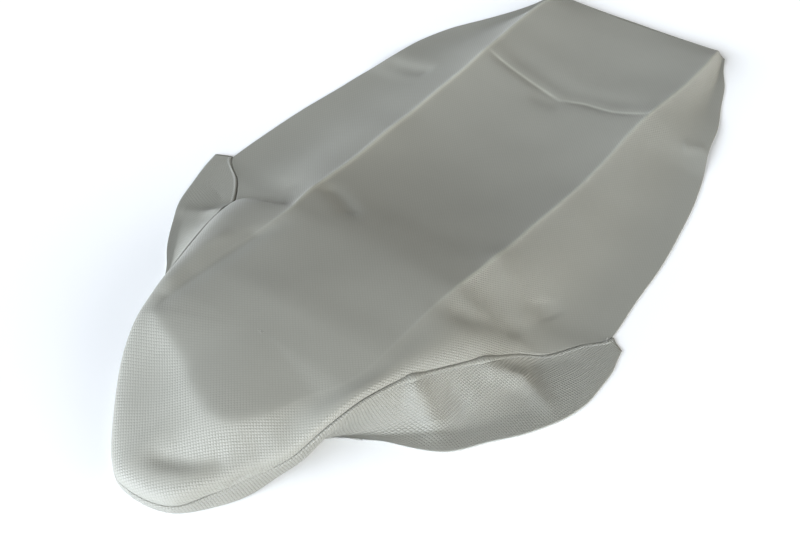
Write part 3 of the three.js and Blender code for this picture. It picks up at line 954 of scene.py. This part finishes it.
class Nodes:
    """Empty node tree of a material or a world, and what adds nodes to it. Every value is a socket
    to link or what the input is set to."""

    def __init__(self, owner):
        owner.use_nodes = True
        self.tree = owner.node_tree
        self.tree.nodes.clear()

    def put(self, value, socket):
        """Link or set an input."""
        if isinstance(value, bpy.types.NodeSocket):
            self.tree.links.new(value, socket)
        else:
            socket.default_value = value

    def add(self, kind, **values):
        """Node of a kind. A value goes to the input of its name, with _ for each space, or else to
        the node's own property."""
        node = self.tree.nodes.new(kind)
        for name, value in values.items():
            socket = node.inputs.get(name.replace("_", " "))
            if socket is None:
                setattr(node, name, value)
            else:
                self.put(value, socket)
        return node

    def math(self, operation, *values, kind="ShaderNodeMath", output=0, **settings):
        """Output of a math node whose inputs take the values in order."""
        node = self.add(kind, operation=operation, **settings)
        for value, socket in zip(values, node.inputs):
            self.put(value, socket)
        return node.outputs[output]

    def noise(self, place, **values):
        """Noise pattern at a place."""
        return self.add("ShaderNodeTexNoise", Vector=place, **values).outputs["Fac"]

    def ranged(self, value, low, high, **limits):
        """A value from 0 to 1, or between its limits, moved to between low and high."""
        return self.add("ShaderNodeMapRange", Value=value, To_Min=low, To_Max=high, **limits).outputs[0]

    def surface(self, colour, shade, **values):
        """The finish of a material: its colour times its shade, and the shader's other values."""
        tinted = self.add(VECTOR_MATH, operation="SCALE", Vector=colour, Scale=shade)
        shader = self.add("ShaderNodeBsdfPrincipled", Base_Color=tinted.outputs[0], **values)
        self.add("ShaderNodeOutputMaterial", Surface=shader.outputs[0])


def made_once(name, fill):
    """The material of a name, which fill gives its nodes the first time it is asked for."""
    if name not in bpy.data.materials:
        fill(Nodes(bpy.data.materials.new(name)))
    return bpy.data.materials[name]


def vinyl_nodes(nodes):
    """Embossed vinyl: rows of small raised squares that follow the flat cut, painted shade in the grooves
    between them, fine grain, slow changes of tone and a paler line where the cloth is bent sharply, stress
    whitening with a painted highlight.

    The squares' height is a power of the lesser of two sine waves, one across each set of rows."""
    settings = bpy.context.scene.cover_finish
    add, math = nodes.add, nodes.math
    rows = add("ShaderNodeSeparateXYZ", Vector=add("ShaderNodeUVMap", uv_map="grain").outputs[0])
    waves = [math("ABSOLUTE", math("SINE", math("MULTIPLY", rows.outputs[axis], np.pi)))
             for axis in range(2)]
    raised = math("POWER", math("MINIMUM", *waves), 0.6)

    place = add("ShaderNodeTexCoord").outputs["Object"]
    tone = nodes.noise(place, Scale=9.0, Detail=3.0, Roughness=0.55)
    fine = nodes.noise(place, Scale=2600.0, Detail=2.0, Roughness=0.6)
    # Paler colour along ridges and creases: stress whitening with a painted highlight on the crests
    whitening_and_highlight_line = add("ShaderNodeAttribute", attribute_name="whitening_and_highlight_line", attribute_type="GEOMETRY")
    pale = math("MULTIPLY", whitening_and_highlight_line.outputs["Fac"], 0.75, use_clamp=True)
    colour = add("ShaderNodeMix", data_type="RGBA", Factor=pale, A=(*settings.vinyl_colour, 1),
                 B=(*settings.whitening_and_highlight_colour, 1))
    # Painted shade: the grooves between the raised squares are darker than their tops
    grooves = nodes.ranged(raised, 0.92, 1.02)
    slow = nodes.ranged(tone, 0.965, 1.035, From_Min=0.3, From_Max=0.7)

    emboss = add("ShaderNodeAttribute", attribute_name="emboss", attribute_type="GEOMETRY")
    height = math("ADD", math("MULTIPLY", fine, 0.12), raised)
    height = math("MULTIPLY", height, emboss.outputs["Fac"])
    bump = add("ShaderNodeBump", Strength=1.0, Distance=settings.weave_depth, Height=height)
    worn = nodes.ranged(raised, settings.roughness + 0.25, settings.roughness)
    nodes.surface(colour.outputs["Result"], math("MULTIPLY", grooves, slow), Roughness=worn,
                  Normal=bump.outputs[0], Specular_IOR_Level=0.5, Sheen_Weight=0.08)


def backing_nodes(nodes):
    """Knitted backing on the underside and the cut edges: fine courses of loops, dull."""
    cut = nodes.add("ShaderNodeUVMap", uv_map="flat_cut").outputs[0]
    wave = nodes.add("ShaderNodeTexWave", Vector=cut, Scale=260.0, Distortion=2.5, Detail=2.0)
    fuzz = nodes.noise(cut, Scale=900.0, Detail=4.0, Roughness=0.7)
    height = nodes.math("ADD", wave.outputs["Fac"], fuzz)
    bump = nodes.add("ShaderNodeBump", Strength=0.6, Distance=0.2 * MM, Height=height)
    nodes.surface(bpy.context.scene.cover_finish.backing_colour,
                  nodes.ranged(height, 0.8, 1.1, From_Max=2.0), Roughness=0.85,
                  Normal=bump.outputs[0], Specular_IOR_Level=0.25)


def thread_nodes(nodes):
    """Twisted polyester thread: fine slanted plies along each stitch."""
    place = nodes.add("ShaderNodeTexCoord").outputs["Object"]
    ply = nodes.add("ShaderNodeTexWave", bands_direction="DIAGONAL", Vector=place, Scale=900.0,
                    Distortion=1.0)
    nodes.surface(bpy.context.scene.cover_finish.thread_colour,
                  nodes.ranged(ply.outputs["Fac"], 0.75, 1.15), Roughness=0.6)


def floor_nodes(nodes):
    """Smooth pale floor with a hardly visible change of tone."""
    place = nodes.add("ShaderNodeTexCoord").outputs["Object"]
    cloud = nodes.noise(place, Scale=1.5, Detail=1.0)
    nodes.surface(bpy.context.scene.cover_studio.floor_colour, nodes.ranged(cloud, 0.995, 1.005),
                  Roughness=0.9, Specular_IOR_Level=0.1)


FLOOR_HALF = 4.0


def make_floor():
    """Wide flat floor under the cover."""
    corners = [(x * FLOOR_HALF, y * FLOOR_HALF, 0) for x, y in ((-1, -1), (1, -1), (1, 1), (-1, 1))]
    mesh = bpy.data.meshes.new("floor")
    mesh.from_pydata(corners, [], [(0, 1, 2, 3)])
    mesh.materials.append(made_once("pale floor", floor_nodes))
    placed("floor", mesh)


# The soft screens round the cover: direction in plan, height in degrees, strength and tint
SCREENS = [
    (205, 2, 2.0, (0.98, 1.0, 1.02)),
    (240, 2, 15.5, (0.93, 1.0, 1.09)),
    (272, 2, 12.0, (0.90, 1.0, 1.14)),
    (225, 48, 1.0, (1.02, 1.0, 0.93)),
    (350, 2, 9.0, (0.99, 1.0, 1.0)),
    (30, 2, 4.5, (1.03, 1.0, 0.9)),
]


def make_world():
    """Dim surroundings with soft bright screens low down: each fades from its middle by an
    exponential of the cosine of the angle from it."""
    settings = bpy.context.scene.cover_studio
    world = bpy.data.worlds.new("soft surroundings")
    bpy.context.scene.world = world
    nodes = Nodes(world)
    place = nodes.add("ShaderNodeTexCoord").outputs["Generated"]
    total = (settings.overhead,) * 3
    for turn, height, strength, tint in SCREENS:
        turn, height = np.radians([turn, height])
        middle = (np.cos(turn) * np.cos(height), np.sin(turn) * np.cos(height), np.sin(height))
        facing = nodes.math("DOT_PRODUCT", place, middle, kind=VECTOR_MATH, output="Value")
        away = nodes.math("SUBTRACT", facing, 1.0)
        fade = nodes.math("EXPONENT", nodes.math("MULTIPLY", away, settings.spread))
        bright = [part * strength * settings.brightness for part in tint]
        glow = nodes.add(VECTOR_MATH, operation="SCALE", Vector=bright, Scale=fade)
        total = nodes.math("ADD", total, glow.outputs[0], kind=VECTOR_MATH)
    background = nodes.add("ShaderNodeBackground", Color=total)
    nodes.add("ShaderNodeOutputWorld", Surface=background.outputs[0])


def make_camera():
    """Camera at the height and turn from which the cover is seen, nose towards the lower left."""
    data = bpy.data.cameras.new("camera")
    data.lens = 60.75
    data.sensor_width = 36
    camera = placed("camera", data)
    camera.location = (0.5192, -0.78211, 0.80123)
    camera.rotation_euler = Euler(np.radians([47.5, 0, 35.5]))
    bpy.context.scene.camera = camera


class COVER_OT_main_panel(bpy.types.Operator):
    """Make the main panel of embossed vinyl"""

    bl_idname = "cover.main_panel"
    bl_label = "Main Panel"

    def execute(self, context):
        make_main_panel()
        return {"FINISHED"}


class COVER_OT_gussets(bpy.types.Operator):
    """Make the two front gussets"""

    bl_idname = "cover.gussets"
    bl_label = "Front Gussets"

    def execute(self, context):
        make_gusset(LEFT, "left_front_gusset")
        make_gusset(RIGHT, "right_front_gusset")
        return {"FINISHED"}


class COVER_OT_topstitches(bpy.types.Operator):
    """Make the row of stitches beside each gusset's seam"""

    bl_idname = "cover.topstitches"
    bl_label = "Topstitches"

    def execute(self, context):
        make_topstitch(LEFT, "left_topstitch")
        make_topstitch(RIGHT, "right_topstitch")
        return {"FINISHED"}


class COVER_OT_studio(bpy.types.Operator):
    """Make the floor, the light and the camera"""

    bl_idname = "cover.studio"
    bl_label = "Studio"

    def execute(self, context):
        make_floor()
        make_world()
        make_camera()
        context.scene.view_settings.view_transform = "Standard"
        return {"FINISHED"}


class COVER_PT_pieces(bpy.types.Panel):
    """Settings and pieces of the seat cover"""

    bl_idname = "COVER_PT_pieces"
    bl_label = "Seat Cover"
    bl_space_type = "VIEW_3D"
    bl_region_type = "UI"
    bl_category = "Seat Cover"

    def draw(self, context):
        scene = context.scene
        for settings in (scene.cover_cloth, scene.cover_finish, scene.cover_studio):
            box = self.layout.box()
            for name in settings.__annotations__:
                box.prop(settings, name)
        for operator in OPERATORS:
            self.layout.operator(operator.bl_idname)


SETTINGS = {"cover_cloth": ClothSettings, "cover_finish": FinishSettings, "cover_studio": StudioSettings}
OPERATORS = (COVER_OT_studio, COVER_OT_main_panel, COVER_OT_gussets, COVER_OT_topstitches)


def register():
    for name, group in SETTINGS.items():
        bpy.utils.register_class(group)
        setattr(bpy.types.Scene, name, PointerProperty(type=group))
    for operator in OPERATORS:
        bpy.utils.register_class(operator)
    bpy.utils.register_class(COVER_PT_pieces)


def unregister():
    bpy.utils.unregister_class(COVER_PT_pieces)
    for operator in reversed(OPERATORS):
        bpy.utils.unregister_class(operator)
    for name, group in SETTINGS.items():
        delattr(bpy.types.Scene, name)
        bpy.utils.unregister_class(group)


def main():
    """Make everything in order."""
    register()
    bpy.ops.cover.studio()
    bpy.ops.cover.main_panel()
    bpy.ops.cover.gussets()
    bpy.ops.cover.topstitches()
    bpy.context.view_layer.update()


if __name__ == "__main__":
    main()
